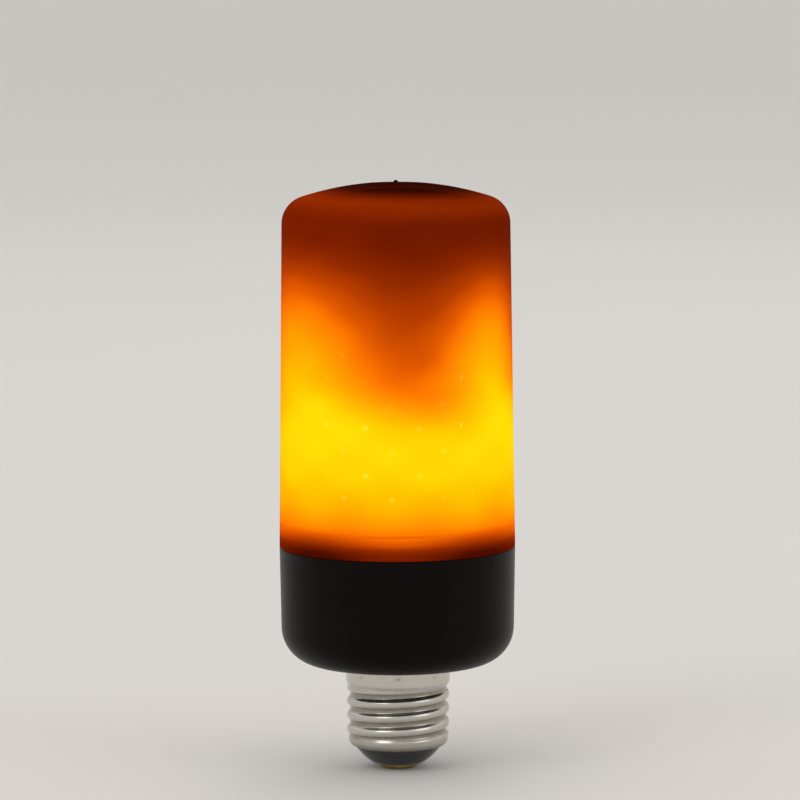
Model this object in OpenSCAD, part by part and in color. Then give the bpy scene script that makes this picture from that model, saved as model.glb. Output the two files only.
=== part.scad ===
/* [Overall] */
// Diameter at the seam between the diffuser and the housing
body_d = 60; // [57:0.5:70]
// Height of the screw cap, from the contact's tip to the housing's shoulder
cap_h = 27; // [25:0.5:32]
// Height of the housing, from its shoulder to the seam
housing_h = 30; // [28:0.5:40]
// Height of the diffuser above the seam, without its gate mark
diffuser_h = 92.7; // [90:0.1:115]

/* [Diffuser] */
// Wall of the frosted diffuser
diffuser_wall = 1.7; // [1.2:0.1:2.2]
// Draft of the diffuser's side, in degrees
diffuser_draft = 0.73; // [0.4:0.01:1.2]
// Radius of the shallow dome on top
dome_r = 79; // [60:1:110]
// Radius of the rounded edge between side and dome
dome_edge_r = 7; // [4:0.1:10]
// Diameter of the shallow dimple at the middle of the dome
dimple_d = 16.6; // [10:0.1:22]
// Depth of that dimple
dimple_depth = 0.25; // [0.1:0.05:0.5]
// Diameter of the moulding gate's mark in the dimple
gate_d = 1.8; // [1:0.1:3]
// Height of the gate's mark above the crown
gate_h = 0.5; // [0.2:0.1:1]
// Bevel on both rims of the seam
rim_bevel = 0.3; // [0.1:0.05:0.6]
// Height of the snap bead's middle above the seam
bead_up = 2.2; // [1.6:0.1:2.8]
// How far the snap bead reaches into its groove
bead_grip = 0.3; // [0.15:0.05:0.45]
// Clearance between parts that are pushed together
fit_gap = 0.1; // [0.05:0.01:0.2]

/* [Housing] */
// Thickness of the housing's floor
floor_t = 2.4; // [1.8:0.1:3]
// Draft of the housing's side, in degrees
housing_draft = 1; // [0.5:0.1:2]
// Radius of the rounded edge between side and floor
housing_edge_r = 9.5; // [7:0.1:12]
// Height of the spigot that stands up into the diffuser
spigot_h = 4.5; // [4:0.1:6]
// Wall of the spigot
spigot_wall = 1.2; // [1:0.1:1.6]
// Wall of the neck that carries the screw shell
neck_wall = 1.9; // [1.4:0.1:2.4]
// Diameter of the posts that carry the driver board and the LED carrier
post_d = 5.4; // [4.8:0.1:6]

/* [Screw cap] */
// Crest diameter of the rolled thread
thread_major_d = 26.2; // [26:0.05:26.4]
// Root diameter of the rolled thread
thread_minor_d = 24.4; // [24.2:0.05:24.6]
// Pitch of the rolled thread
thread_pitch = 3.62; // [3.4:0.01:4]
// Thickness of the screw shell's sheet
shell_t = 0.3; // [0.25:0.05:0.4]
// Diameter of the plain skirt under the housing
skirt_d = 26.5; // [26.3:0.05:27.5]
// Height of the plain skirt
skirt_h = 4.4; // [3.6:0.1:6]
// Radius of the lip that curls in over the insulator
lip_r = 1.6; // [1.2:0.1:1.8]
// Height of the insulator, from the contact's tip to the lip
insulator_h = 6; // [5.4:0.1:7]
// Height of the insulator's plug inside the screw shell
plug_h = 3.5; // [3:0.1:5]
// Thickness of the insulator's web under the rivet's head
web_t = 3; // [2.4:0.1:3.6]
// Diameter of the centre contact
contact_d = 9.5; // [8:0.1:10.5]
// Thickness of the centre contact
contact_t = 1.2; // [0.9:0.1:1.6]
// Diameter of the rivet that holds the centre contact
rivet_d = 3.8; // [3:0.1:4.4]

/* [LED column] */
// Distance from the diffuser's wall at the seam in to the flexible board
column_in = 9.3; // [8.5:0.1:11]
// Distance from the crown of the dome down to the top of the carrier's tube
column_down = 12.7; // [11.5:0.1:16]
// Wall of the carrier tube
carrier_wall = 1.5; // [1.2:0.1:2]
// Thickness of the carrier's flange
flange_t = 1.6; // [1.2:0.1:2]
// Width of the flange inside the tube
flange_lip = 3.2; // [1:0.1:6]
// Thickness of the carrier's top cap
carrier_cap_t = 1.4; // [1:0.1:2]
// Depth of the cap's rim inside the tube
cap_rim_h = 3; // [2:0.1:4]
// Thickness of the flexible board
flex_t = 0.25; // [0.15:0.05:0.35]
// Rows of LEDs, one above the other
led_rows = 11; // [8:1:11]
// LEDs in each row
leds_per_row = 9; // [7:1:9]
// Height of the lowest row above the seam
first_row_up = 14.1; // [13.5:0.1:15]
// Turn of the lowest row's first LED from the front, in degrees
row_turn = -3.65; // [-10:0.05:10]
// Board beyond the outer rows, above and below
flex_margin = 5; // [3:0.1:5.4]
// Width of an LED
led_w = 3.5; // [3:0.1:4]
// Height of an LED
led_h = 2.8; // [2.4:0.1:3.2]
// Thickness of an LED
led_t = 0.7; // [0.5:0.05:1]
// Width of the flexible board's tail
tail_w = 7; // [5:0.5:8]

/* [Driver] */
// Depth of the driver board's underside below the seam
board_down = 13; // [12.5:0.5:15]
// Thickness of the driver board
board_t = 1.6; // [1:0.1:2]
// Diameter of the electrolytic capacitor
electrolytic_d = 10; // [8:0.5:11]
// Height of the electrolytic capacitor
electrolytic_h = 13.5; // [10:0.5:14]
// Length, width and height of the film capacitor
film_size = [11, 5, 9.5];
// Length, width and height of the bridge rectifier's body
rectifier_size = [4.8, 3.9, 2.4];
// Length, width and height of the driver chip's body
chip_size = [4.9, 3.9, 1.5];
// Length, width and height of the flame controller's body
controller_size = [9.9, 3.9, 1.6];
// Diameter of the inductor
inductor_d = 9; // [7:0.5:10]
// Height of the inductor
inductor_h = 8; // [6:0.5:10]
// Diameter of the tilt switch
tilt_d = 5; // [4:0.1:6]
// Length of the tilt switch
tilt_l = 9; // [7:0.5:10]
// Diameter of the fuse resistor
fuse_d = 3.4; // [2.5:0.1:3.8]
// Length of the fuse resistor
fuse_l = 9; // [7:0.5:10]
// Diameter of the insulated wires
wire_d = 1.6; // [1.2:0.1:2]
// Shank diameter of the small screws
screw_d = 2.2; // [1.8:0.1:2.6]

/* [Hidden] */
$fn = 96;

// How far a cutting body stands out beyond what it opens
cut = 1;

// Levels along the bulb's axis, from the contact's tip
z_shoulder = cap_h;
z_seam = z_shoulder + housing_h;
z_top = z_seam + diffuser_h;
z_spigot = z_seam + spigot_h;
z_floor = z_shoulder + floor_t;
z_board = z_seam - board_down;
z_board_top = z_board + board_t;
z_flange_top = z_spigot + flange_t;
z_flex = z_seam + first_row_up - flex_margin;
tube_over = 0.9;
z_column_top = z_top - column_down;
flex_h = z_column_top - tube_over - z_flex;
row_pitch = (flex_h - 2*flex_margin)/(led_rows - 1);

// Diffuser: its drafted side, the rounded edge and the dome are tangent to each other
seam_r = body_d/2;
function side_r(z) = seam_r - (z - z_seam)*tan(diffuser_draft);
edge_slope = tan(diffuser_draft);
edge_reach = seam_r - dome_edge_r/cos(diffuser_draft);
dome_up = diffuser_h - dome_r;
edge_mid = edge_reach*edge_slope + dome_up;
edge_span = pow(edge_reach, 2) + pow(dome_up, 2) - pow(dome_r - dome_edge_r, 2);
edge_up = (edge_mid + sqrt(pow(edge_mid, 2) - (1 + pow(edge_slope, 2))*edge_span))/(1 + pow(edge_slope, 2));
edge_z = z_seam + edge_up;
edge_r = edge_reach - edge_slope*edge_up;
dome_z = z_top - dome_r;
edge_turn = atan2(edge_z - dome_z, edge_r);
dimple_turn = acos(dimple_d/2/dome_r);
dimple_floor_r = dome_r - dimple_depth;
gate_turn = acos(gate_d/2/dimple_floor_r);
gate_taper = 0.7;
bead_w = 0.7;

// Housing: the spigot, the cavity and the neck follow the diffuser and the screw shell
spigot_r = side_r(z_flange_top) - diffuser_wall - fit_gap;
cavity_r = spigot_r - spigot_wall;
cavity_draft = 0.5;
cavity_edge_r = housing_edge_r - floor_t;
cavity_low_r = cavity_r - (z_spigot - z_floor)*tan(cavity_draft);
housing_edge_z = z_shoulder + housing_edge_r;
housing_edge_in = seam_r
    - (housing_edge_r + (z_seam - housing_edge_z)*sin(housing_draft))/cos(housing_draft);
groove_play = 0.1;
rib_t = 1.6;

// Screw cap: one wavy wall with a curled lip below and a flare to the plain skirt above
skirt_r = skirt_d/2;
skirt_mid_r = skirt_r - shell_t/2;
z_skirt = z_shoulder - skirt_h;
z_lip = insulator_h;
z_thread = z_lip + lip_r;
shell_mid_r = (thread_major_d + thread_minor_d)/4 - shell_t/2;
thread_amp = (thread_major_d - thread_minor_d)/4;
knuckle_r = (pow(thread_pitch/4, 2) + pow(thread_amp, 2))/(2*thread_amp);
flare_h = 1.4;
shell_sides = 48;
curl_steps = 3;
rings_per_turn = 8;
thread_steps = round((z_skirt - z_thread)/thread_pitch*rings_per_turn);
thread_step = (z_skirt - z_thread)/thread_steps;
last_ring = curl_steps + thread_steps + 1;
neck_r = thread_minor_d/2 - shell_t - 2*fit_gap;
neck_bore_r = neck_r - neck_wall;
collar_r = skirt_r - shell_t - fit_gap;
flare_play = 0.2;
z_collar = z_skirt + shell_t + flare_play;
z_plug_top = z_lip + plug_h;
z_neck = z_plug_top + fit_gap;
plug_over = 0.3;
plug_r = shell_mid_r - lip_r + plug_over;
cone_r = shell_mid_r - lip_r - fit_gap;
z_plug = z_lip + shell_t/2 + fit_gap;
z_web_top = contact_t + web_t;
rivet_head_t = 0.8;
rivet_head_d = rivet_d + 2.6;
rivet_play = 0.05;
plug_wall = 2.6;
cup_r = plug_r - plug_wall;

// LED column and what stands on the driver board
column_r = seam_r - diffuser_wall - column_in;
glue_gap = 0.05;
carrier_r = column_r - flex_t - glue_gap;
carrier_bore_r = carrier_r - carrier_wall;
cap_rim_t = 1.4;
ledge_w = 0.6;
ledge_r = column_r + ledge_w;
half_step = 180/leds_per_row;
slit_turn = row_turn + half_step*(leds_per_row - 0.5);
slit_angle = 2;
led_window_d = 2.3;
led_window_deep = 0.15;
tail_turn = slit_turn;
tail_grip = 2.5;
connector_size = [3.5, tail_w + 2, 5];
board_play = 1.2;
board_r = cavity_r - board_play;
board_post_in = 2.8;
board_post_at = cavity_r - post_d/2 - board_post_in;
post_off_wall = 0.5;
carrier_post_at = cavity_r - post_d/2 - post_off_wall;
board_post_turn = 50;
carrier_post_turn = 110;
post_count = 3;
screw_play = 0.05;
head_d = 2*screw_d;
head_h = 0.7*screw_d;
carrier_screw_l = 8;
board_screw_l = 7;
bore_spare = 1;

// Places of the parts on the driver board, as shares of its radius
electrolytic_at = [0.35, -0.33];
film_at = [-0.35, -0.37];
inductor_at = [-0.44, 0.06];
rectifier_at = [0, -0.66];
driver_chip_at = [0, -0.08];
controller_at = [-0.02, 0.37];
tilt_at = [0.44, 0.235];
fuse_at = [0.67, 0.04];
neutral_x = -6;
neutral_bend_r = 3;
neutral_up = 5;
neutral_z = z_neck + neutral_up;

function arc(r, z, radius, a0, a1, steps, from = 0) =
    [for (i = [from:steps]) let (a = a0 + (a1 - a0)*i/steps) [r + radius*cos(a), z + radius*sin(a)]];
function blend(s) = let (c = min(1, max(0, s))) c*c*(3 - 2*c);

module turned(outline) {
    rotate_extrude() polygon(outline);
}

// Turns its children round the axis, angles counted from the front
module at_turn(turn, r = 0, z = 0) {
    rotate([0, 0, turn - 90]) translate([r, 0, z]) children();
}

module at_posts(turn, r, z) {
    for (i = [0:post_count - 1]) rotate([0, 0, turn + i*360/post_count]) translate([r, 0, z]) children();
}

// Pan-head screw with a cross recess, its seat at z = 0
module pan_screw(shank_l) {
    difference() {
        union() {
            turned(concat([[0, 0], [head_d/2, 0], [head_d/2, head_h*0.35]],
                          arc(head_d/2 - head_h*0.65, head_h*0.35, head_h*0.65, 0, 90, 6, 1),
                          [[0, head_h]]));
            translate([0, 0, -shank_l]) cylinder(h = shank_l, d = screw_d);
        }
        for (a = [0, 90]) rotate([0, 0, a])
            translate([-head_d*0.3, -screw_d*0.12, head_h*0.45]) cube([head_d*0.6, screw_d*0.24, head_h]);
    }
}

// Frosted cover: one blown-thin moulding with a dimple and gate mark on top and a snap bead inside
module diffuser() {
    inner_edge_r = dome_edge_r - diffuser_wall;
    z_bead = z_seam + bead_up;
    outside = concat(
        [[seam_r - rim_bevel, z_seam], [side_r(z_seam + rim_bevel), z_seam + rim_bevel]],
        arc(edge_r, edge_z, dome_edge_r, diffuser_draft, edge_turn, 10),
        arc(0, dome_z, dome_r, edge_turn, dimple_turn, 16, 1),
        arc(0, dome_z, dimple_floor_r, acos(dimple_d/2/dimple_floor_r), gate_turn, 5),
        [[gate_d/2*gate_taper, z_top + gate_h], [0, z_top + gate_h]]);
    inside = concat(
        arc(0, dome_z, dome_r - diffuser_wall, 90, edge_turn, 16),
        arc(edge_r, edge_z, inner_edge_r, edge_turn, diffuser_draft, 10, 1),
        [[side_r(z_bead + bead_w) - diffuser_wall, z_bead + bead_w],
         [spigot_r - bead_grip, z_bead],
         [side_r(z_bead - bead_w) - diffuser_wall, z_bead - bead_w],
         [seam_r - diffuser_wall, z_seam]]);
    color([0.95, 0.47, 0.08]) turned(concat(outside, inside));
}

module housing_block() {
    turned(concat(
        [[0, z_shoulder]],
        arc(housing_edge_in, housing_edge_z, housing_edge_r, -90, -housing_draft, 12),
        [[seam_r - rim_bevel*tan(housing_draft), z_seam - rim_bevel],
         [seam_r - rim_bevel, z_seam],
         [spigot_r, z_seam],
         [spigot_r, z_spigot],
         [0, z_spigot]]));
}

module housing_cavity() {
    turned(concat(
        [[0, z_floor]],
        arc(cavity_low_r - cavity_edge_r, z_floor + cavity_edge_r, cavity_edge_r, -90, 0, 10),
        [[cavity_r, z_spigot], [cavity_r, z_spigot + cut], [0, z_spigot + cut]]));
}

// Posts rise from the floor, and those for the LED carrier are ribbed to the wall
module housing_posts() {
    at_posts(board_post_turn, board_post_at, z_shoulder) cylinder(h = z_board - z_shoulder, d = post_d);
    at_posts(carrier_post_turn, carrier_post_at, z_shoulder) {
        cylinder(h = z_spigot - z_shoulder, d = post_d);
        translate([0, -rib_t/2, 0]) cube([post_d/2 + 2*post_off_wall, rib_t, z_spigot - z_shoulder]);
    }
}

// Neck with a wider collar under the skirt, and a hole for the wire to the screw shell
module housing_neck() {
    translate([0, 0, z_neck]) cylinder(h = z_floor - z_neck, r = neck_r);
    translate([0, 0, z_collar]) cylinder(h = z_shoulder + floor_t/2 - z_collar, r = collar_r);
}

module housing() {
    groove_r = spigot_r - bead_grip - groove_play;
    groove_w = bead_w + groove_play;
    z_bead = z_seam + bead_up;
    color([0.09, 0.08, 0.08]) difference() {
        union() {
            difference() {
                housing_block();
                housing_cavity();
            }
            intersection() {
                housing_block();
                housing_posts();
            }
            housing_neck();
        }
        translate([0, 0, z_neck - cut]) cylinder(h = z_floor - z_neck + 2*cut, r = neck_bore_r);
        translate([-neck_r - cut, 0, neutral_z]) rotate([0, 90, 0])
            cylinder(h = neck_wall + 2*cut, d = wire_d + 2*fit_gap);
        at_posts(board_post_turn, board_post_at, z_board + board_t - board_screw_l - bore_spare)
            cylinder(h = board_screw_l + bore_spare, d = screw_d + 2*screw_play);
        at_posts(carrier_post_turn, carrier_post_at, z_flange_top - carrier_screw_l - bore_spare)
            cylinder(h = carrier_screw_l + bore_spare, d = screw_d + 2*screw_play);
        turned([[spigot_r + cut, z_bead - groove_w - cut], [spigot_r + cut, z_bead + groove_w + cut],
                [spigot_r, z_bead + groove_w], [groove_r, z_bead], [spigot_r, z_bead - groove_w]]);
    }
}

// Rolled knuckle thread: two equal arcs, one for the crest and one for the root
function knuckle(turns) =
    let (f = turns - floor(turns), crest = f < 0.5, x = (f - (crest ? 0.25 : 0.75))*thread_pitch)
    (crest ? 1 : -1)*(sqrt(pow(knuckle_r, 2) - x*x) - knuckle_r + thread_amp);
function thread_fade(z) =
    blend((z - z_thread)/thread_pitch*2)*blend((z_skirt - flare_h/2 - z)/thread_pitch*2);
function curl(j) = 90*(1 - min(1, j/curl_steps));
function ring_z(j) =
    j <= curl_steps ? z_thread - lip_r*sin(curl(j))
    : j < last_ring ? z_thread + (j - curl_steps)*thread_step : z_skirt + shell_t;
function ring_r(j, turns) =
    let (z = ring_z(j))
    shell_mid_r - lip_r*(1 - cos(curl(j)))
    + (skirt_mid_r - shell_mid_r)*blend((z - z_skirt)/flare_h + 1)
    + thread_amp*thread_fade(z)*knuckle(z/thread_pitch - turns);
function ring_t(j) = j < last_ring - 1 ? shell_t : shell_t*0.6;
function shell_point(j, i, side) =
    let (a = 360*i/shell_sides, r = ring_r(j, i/shell_sides) + side*ring_t(j)/2*cos(curl(j)))
    [r*cos(a), r*sin(a), ring_z(j) - side*ring_t(j)/2*sin(curl(j))];

module threaded_wall() {
    n = shell_sides;
    inner = (last_ring + 1)*n;
    points = [for (side = [1, -1], j = [0:last_ring], i = [0:n - 1]) shell_point(j, i, side)];
    bands = [for (j = [0:last_ring - 1], i = [0:n - 1])
        let (a = j*n + i, b = j*n + (i + 1)%n, c = a + n, d = b + n)
        each [[a, c, d], [a, d, b], [inner + a, inner + d, inner + c], [inner + a, inner + b, inner + d]]];
    top = last_ring*n;
    rims = [for (i = [0:n - 1])
        let (a = i, b = (i + 1)%n)
        each [[a, b, inner + b], [a, inner + b, inner + a],
              [top + b, top + a, inner + top + a], [top + b, inner + top + a, inner + top + b]]];
    polyhedron(points = points, faces = concat(bands, rims), convexity = 12);
}

module screw_shell() {
    color([0.78, 0.76, 0.72]) union() {
        threaded_wall();
        translate([0, 0, z_skirt]) difference() {
            cylinder(h = skirt_h, r = skirt_r);
            translate([0, 0, -cut]) cylinder(h = skirt_h + 2*cut, r = skirt_r - shell_t);
        }
    }
}

// Moulded cone between the contact and the shell, with a plug that the lip holds against the neck
module cap_insulator() {
    contact_rim = 0.9;
    tip_r = contact_d/2 + contact_rim;
    z_cone = z_lip - 0.5;
    cone_bow = 1.6;
    color([0.1, 0.1, 0.11]) difference() {
        turned(concat(
            [[0, contact_t]],
            [for (s = [0:0.125:1])
                [tip_r + (cone_r - tip_r)*s, contact_t + (z_cone - contact_t)*pow(s, cone_bow)]],
            [[cone_r, z_plug], [plug_r, z_plug], [plug_r, z_plug_top], [0, z_plug_top]]));
        translate([0, 0, contact_t - cut]) cylinder(h = web_t + 2*cut, d = rivet_d + 2*rivet_play);
        translate([0, 0, z_web_top]) cylinder(h = z_plug_top - z_web_top + cut, r = cup_r);
    }
}

// Brass contact: a rounded disc with a flat tip, riveted through the web
module centre_contact() {
    tip_edge_r = contact_t*0.75;
    color([0.8, 0.68, 0.4]) turned(concat(
        [[0, 0]],
        arc(contact_d/2 - tip_edge_r, tip_edge_r, tip_edge_r, -90, 0, 6),
        [[contact_d/2, contact_t], [rivet_d/2, contact_t], [rivet_d/2, z_web_top],
         [rivet_head_d/2, z_web_top], [rivet_head_d/2, z_web_top + rivet_head_t*0.4],
         [rivet_head_d/2 - rivet_head_t*0.6, z_web_top + rivet_head_t], [0, z_web_top + rivet_head_t]]));
}

// Tube with a wide flange, a ledge for the flexible board and a slot for its tail
module led_carrier() {
    color([0.93, 0.92, 0.88]) difference() {
        union() {
            translate([0, 0, z_spigot]) cylinder(h = flange_t, r = spigot_r);
            translate([0, 0, z_spigot]) cylinder(h = z_flex - z_spigot, r = ledge_r);
            translate([0, 0, z_spigot]) cylinder(h = z_column_top - z_spigot, r = carrier_r);
        }
        translate([0, 0, z_spigot - cut]) cylinder(h = flange_t + 2*cut, r = carrier_bore_r - flange_lip);
        translate([0, 0, z_flange_top])
            cylinder(h = z_column_top - z_flange_top + cut, r = carrier_bore_r);
        at_posts(carrier_post_turn, carrier_post_at, z_spigot - cut)
            cylinder(h = flange_t + 2*cut, d = screw_d + 2*screw_play);
        at_turn(tail_turn, column_r - flex_t - fit_gap, z_spigot - cut)
            translate([0, -tail_w/2 - fit_gap, 0])
            cube([flex_t + 2*fit_gap, tail_w + 2*fit_gap, z_flex - z_spigot + 2*cut]);
    }
}

module carrier_cap() {
    cap_edge_r = carrier_cap_t*0.6;
    rim_r = carrier_bore_r - fit_gap;
    color([0.12, 0.1, 0.09]) turned(concat(
        [[0, z_column_top], [rim_r - cap_rim_t, z_column_top], [rim_r - cap_rim_t, z_column_top - cap_rim_h],
         [rim_r, z_column_top - cap_rim_h], [rim_r, z_column_top], [carrier_r, z_column_top]],
        arc(carrier_r - cap_edge_r, z_column_top + carrier_cap_t - cap_edge_r, cap_edge_r, 0, 90, 6),
        [[0, z_column_top + carrier_cap_t]]));
}

// Thin board bent round the carrier, its two ends a narrow slit apart, with a tail down to the driver
module flex_board() {
    tail_top = z_flex + 0.8;
    tail_low = z_board_top + connector_size[2] - tail_grip;
    color([0.85, 0.66, 0.2]) union() {
        rotate([0, 0, slit_turn - 90 + slit_angle/2]) rotate_extrude(angle = 360 - slit_angle)
            translate([column_r - flex_t, z_flex]) square([flex_t, flex_h]);
        at_turn(tail_turn, column_r - flex_t, tail_low)
            translate([0, -tail_w/2, 0]) cube([flex_t, tail_w, tail_top - tail_low]);
    }
}

module led() {
    difference() {
        translate([0, -led_w/2, -led_h/2]) cube([led_t, led_w, led_h]);
        translate([led_t - led_window_deep, 0, 0]) rotate([0, 90, 0])
            cylinder(h = cut, d = led_window_d, $fn = 32);
    }
}

// Each second row is turned by half a step
module led_row(row) {
    turn = row_turn + (row%2 == 0 ? half_step : 0);
    z = z_seam + first_row_up + (row - 1)*row_pitch;
    color([1, 0.78, 0.25]) for (k = [0:leds_per_row - 1]) at_turn(turn + 2*half_step*k, column_r, z) led();
}

module carrier_screws() {
    color([0.62, 0.62, 0.6]) at_posts(carrier_post_turn, carrier_post_at, z_flange_top)
        pan_screw(carrier_screw_l);
}

module board_screws() {
    color([0.62, 0.62, 0.6]) at_posts(board_post_turn, board_post_at, z_board_top)
        pan_screw(board_screw_l);
}

// Round board, notched where the carrier's posts pass it
module driver_board() {
    notch = post_d/2 + 3*fit_gap;
    color([0.12, 0.36, 0.2]) translate([0, 0, z_board]) difference() {
        cylinder(h = board_t, r = board_r);
        at_posts(carrier_post_turn, carrier_post_at, -cut) {
            cylinder(h = board_t + 2*cut, r = notch);
            translate([0, -notch, 0]) cube([board_r, 2*notch, board_t + 2*cut]);
        }
        at_posts(board_post_turn, board_post_at, -cut)
            cylinder(h = board_t + 2*cut, d = screw_d + 2*screw_play);
    }
}

// Aluminium can with a rolled groove above its rubber bung
module electrolytic_capacitor() {
    r = electrolytic_d/2;
    color([0.2, 0.22, 0.3]) on_board(electrolytic_at) turned(concat(
        [[0, 0], [r - 0.3, 0], [r, 0.3], [r, 1.6], [r - 0.45, 2], [r, 2.4]],
        arc(r - 0.5, electrolytic_h - 0.5, 0.5, 0, 90, 4),
        [[0, electrolytic_h]]));
}

// Boxed capacitor with a shallow moulded edge round its foot
module film_capacitor() {
    foot_h = 0.6;
    foot_w = 1;
    color([0.8, 0.2, 0.15]) on_board(film_at) difference() {
        translate([-film_size[0]/2, -film_size[1]/2, 0]) cube(film_size);
        translate([foot_w - film_size[0]/2, foot_w - film_size[1]/2, -foot_h])
            cube([film_size[0] - 2*foot_w, film_size[1] - 2*foot_w, 2*foot_h]);
    }
}

// Ferrite drum with its winding between two flanges
module inductor() {
    r = inductor_d/2;
    lip = 1.2;
    color([0.25, 0.24, 0.24]) on_board(inductor_at) turned([
        [0, 0], [r, 0], [r, lip], [r - 0.7, lip + 0.2], [r - 0.7, inductor_h - lip - 0.2],
        [r, inductor_h - lip], [r, inductor_h], [0, inductor_h]]);
}

// Small-outline package with gull-wing legs along its two long sides
module package(size, leg_pairs, leg_pitch) {
    leg_out = 1.05;
    leg_w = 0.4;
    leg_t = 0.2;
    stand = 0.15;
    translate([-size[0]/2, -size[1]/2, stand]) cube([size[0], size[1], size[2] - stand]);
    for (i = [0:leg_pairs - 1], side = [-1, 1])
        translate([(i - (leg_pairs - 1)/2)*leg_pitch - leg_w/2, side*size[1]/2, 0])
        mirror([0, side < 0 ? 1 : 0, 0]) {
            translate([0, -leg_t, size[2]/2]) cube([leg_w, leg_out/2 + leg_t, leg_t]);
            translate([0, leg_out/2 - leg_t, 0]) cube([leg_w, leg_t, size[2]/2 + leg_t]);
            translate([0, leg_out/2 - leg_t, 0]) cube([leg_w, leg_out/2 + leg_t, leg_t]);
        }
}

module on_board(at) {
    translate([at[0]*board_r, at[1]*board_r, z_board_top]) children();
}

module bridge_rectifier() {
    color([0.13, 0.13, 0.14]) on_board(rectifier_at) package(rectifier_size, 2, 2.54);
}

module driver_chip() {
    color([0.13, 0.13, 0.14]) on_board(driver_chip_at) package(chip_size, 4, 1.27);
}

module flame_controller() {
    color([0.13, 0.13, 0.14]) on_board(controller_at) package(controller_size, 8, 1.27);
}

// Capsule that lies on its side, with a flat foot under its end caps
module tilt_switch() {
    color([0.72, 0.7, 0.66]) on_board(tilt_at) {
        translate([0, tilt_l/2, tilt_d/2]) rotate([90, 0, 0]) cylinder(h = tilt_l, d = tilt_d);
        translate([-tilt_d/4, -tilt_l/2, 0]) cube([tilt_d/2, tilt_l, tilt_d/2]);
    }
}

// Coated barrel on two bent leads
module fuse_resistor() {
    lead_d = 0.6;
    lift = fuse_d/2 + 0.6;
    color([0.35, 0.6, 0.5]) on_board(fuse_at) {
        translate([0, fuse_l/2, lift]) rotate([90, 0, 0]) cylinder(h = fuse_l, d = fuse_d);
        for (side = [-1, 1]) {
            translate([0, side*(fuse_l/2 + 0.5), 0]) cylinder(h = lift + lead_d/2, d = lead_d);
            translate([0, side*(fuse_l/2 + 0.25), lift]) rotate([90, 0, 0])
                cylinder(h = 1.1, d = lead_d, center = true);
        }
    }
}

// Socket that the flexible board's tail is pushed into
module board_connector() {
    color([0.9, 0.88, 0.82]) at_turn(tail_turn, column_r - flex_t/2, z_board_top) difference() {
        translate([-connector_size[0]/2, -connector_size[1]/2, 0]) cube(connector_size);
        translate([-flex_t/2 - fit_gap, -tail_w/2 - fit_gap, connector_size[2] - tail_grip - fit_gap])
            cube([flex_t + 2*fit_gap, tail_w + 2*fit_gap, tail_grip + cut]);
    }
}

// Runs straight from the rivet's head to the driver board
module live_wire() {
    z_from = z_web_top + rivet_head_t;
    color([0.75, 0.12, 0.1]) translate([0, 0, z_from]) cylinder(h = z_board - z_from, d = wire_d);
}

// Starts at the screw shell, passes the neck's wall and bends up to the driver board
module neutral_wire() {
    start_x = -neck_r - fit_gap;
    bend_x = neutral_x - neutral_bend_r;
    color([0.1, 0.25, 0.6]) union() {
        translate([start_x, 0, neutral_z]) rotate([0, 90, 0]) cylinder(h = bend_x - start_x, d = wire_d);
        translate([bend_x, 0, neutral_z + neutral_bend_r]) rotate([90, 0, 0])
            rotate([0, 0, -90]) rotate_extrude(angle = 90) translate([neutral_bend_r, 0]) circle(d = wire_d);
        translate([neutral_x, 0, neutral_z + neutral_bend_r])
            cylinder(h = z_board - neutral_z - neutral_bend_r, d = wire_d);
    }
}

diffuser();
housing();
screw_shell();
cap_insulator();
centre_contact();
led_carrier();
carrier_cap();
flex_board();
carrier_screws();
driver_board();
board_screws();
electrolytic_capacitor();
film_capacitor();
inductor();
bridge_rectifier();
driver_chip();
flame_controller();
tilt_switch();
fuse_resistor();
board_connector();
live_wire();
neutral_wire();
for (row = [1:led_rows]) led_row(row);
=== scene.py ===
import math

import bpy
from mathutils import Matrix, Vector


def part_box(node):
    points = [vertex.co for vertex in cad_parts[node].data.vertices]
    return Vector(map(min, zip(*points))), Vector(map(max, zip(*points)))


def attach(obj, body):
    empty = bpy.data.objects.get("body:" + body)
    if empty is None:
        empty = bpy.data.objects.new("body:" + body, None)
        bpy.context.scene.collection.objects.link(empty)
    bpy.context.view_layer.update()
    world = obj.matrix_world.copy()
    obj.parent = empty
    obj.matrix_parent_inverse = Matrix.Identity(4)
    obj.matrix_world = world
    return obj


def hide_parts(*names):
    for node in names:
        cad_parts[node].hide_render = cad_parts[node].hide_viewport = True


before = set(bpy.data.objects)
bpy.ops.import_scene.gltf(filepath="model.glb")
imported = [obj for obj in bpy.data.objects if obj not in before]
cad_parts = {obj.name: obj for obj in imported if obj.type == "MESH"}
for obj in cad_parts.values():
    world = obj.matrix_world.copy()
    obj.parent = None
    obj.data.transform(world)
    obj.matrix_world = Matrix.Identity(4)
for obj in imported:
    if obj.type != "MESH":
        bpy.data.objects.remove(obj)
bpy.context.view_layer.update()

bl_info = {
    "name": "Flame effect bulb",
    "version": (1, 0, 0),
    "blender": (4, 5, 0),
    "location": "View3D > Sidebar > Bulb",
    "description": "Dresses the packed flame effect LED bulb with smooth pieces and its glow",
    "category": "Object",
}

MM = 0.001
BODY = "root"
SIDES = 192
SMOOTH_ANGLE = math.radians(32)

SEAM_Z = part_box("diffuser")[0].z
SHOULDER_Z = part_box("screw_shell")[1].z
LIP_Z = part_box("screw_shell")[0].z
FLANGE_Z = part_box("led_carrier")[0].z
FLANGE_TOP_Z = FLANGE_Z + 1.6*MM
BOARD_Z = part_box("driver_board")[0].z
SKIRT_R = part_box("screw_shell")[1].x
CONTACT_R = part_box("centre_contact")[1].x
CONTACT_TOP_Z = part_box("centre_contact")[1].z
PLUG_TOP_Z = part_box("cap_insulator")[1].z
SPIGOT_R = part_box("led_carrier")[1].x
LED_ROWS = sorted(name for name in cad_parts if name.startswith("led_row_"))

# Gap between pieces that fit into each other
GAP = 0.1*MM
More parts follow.
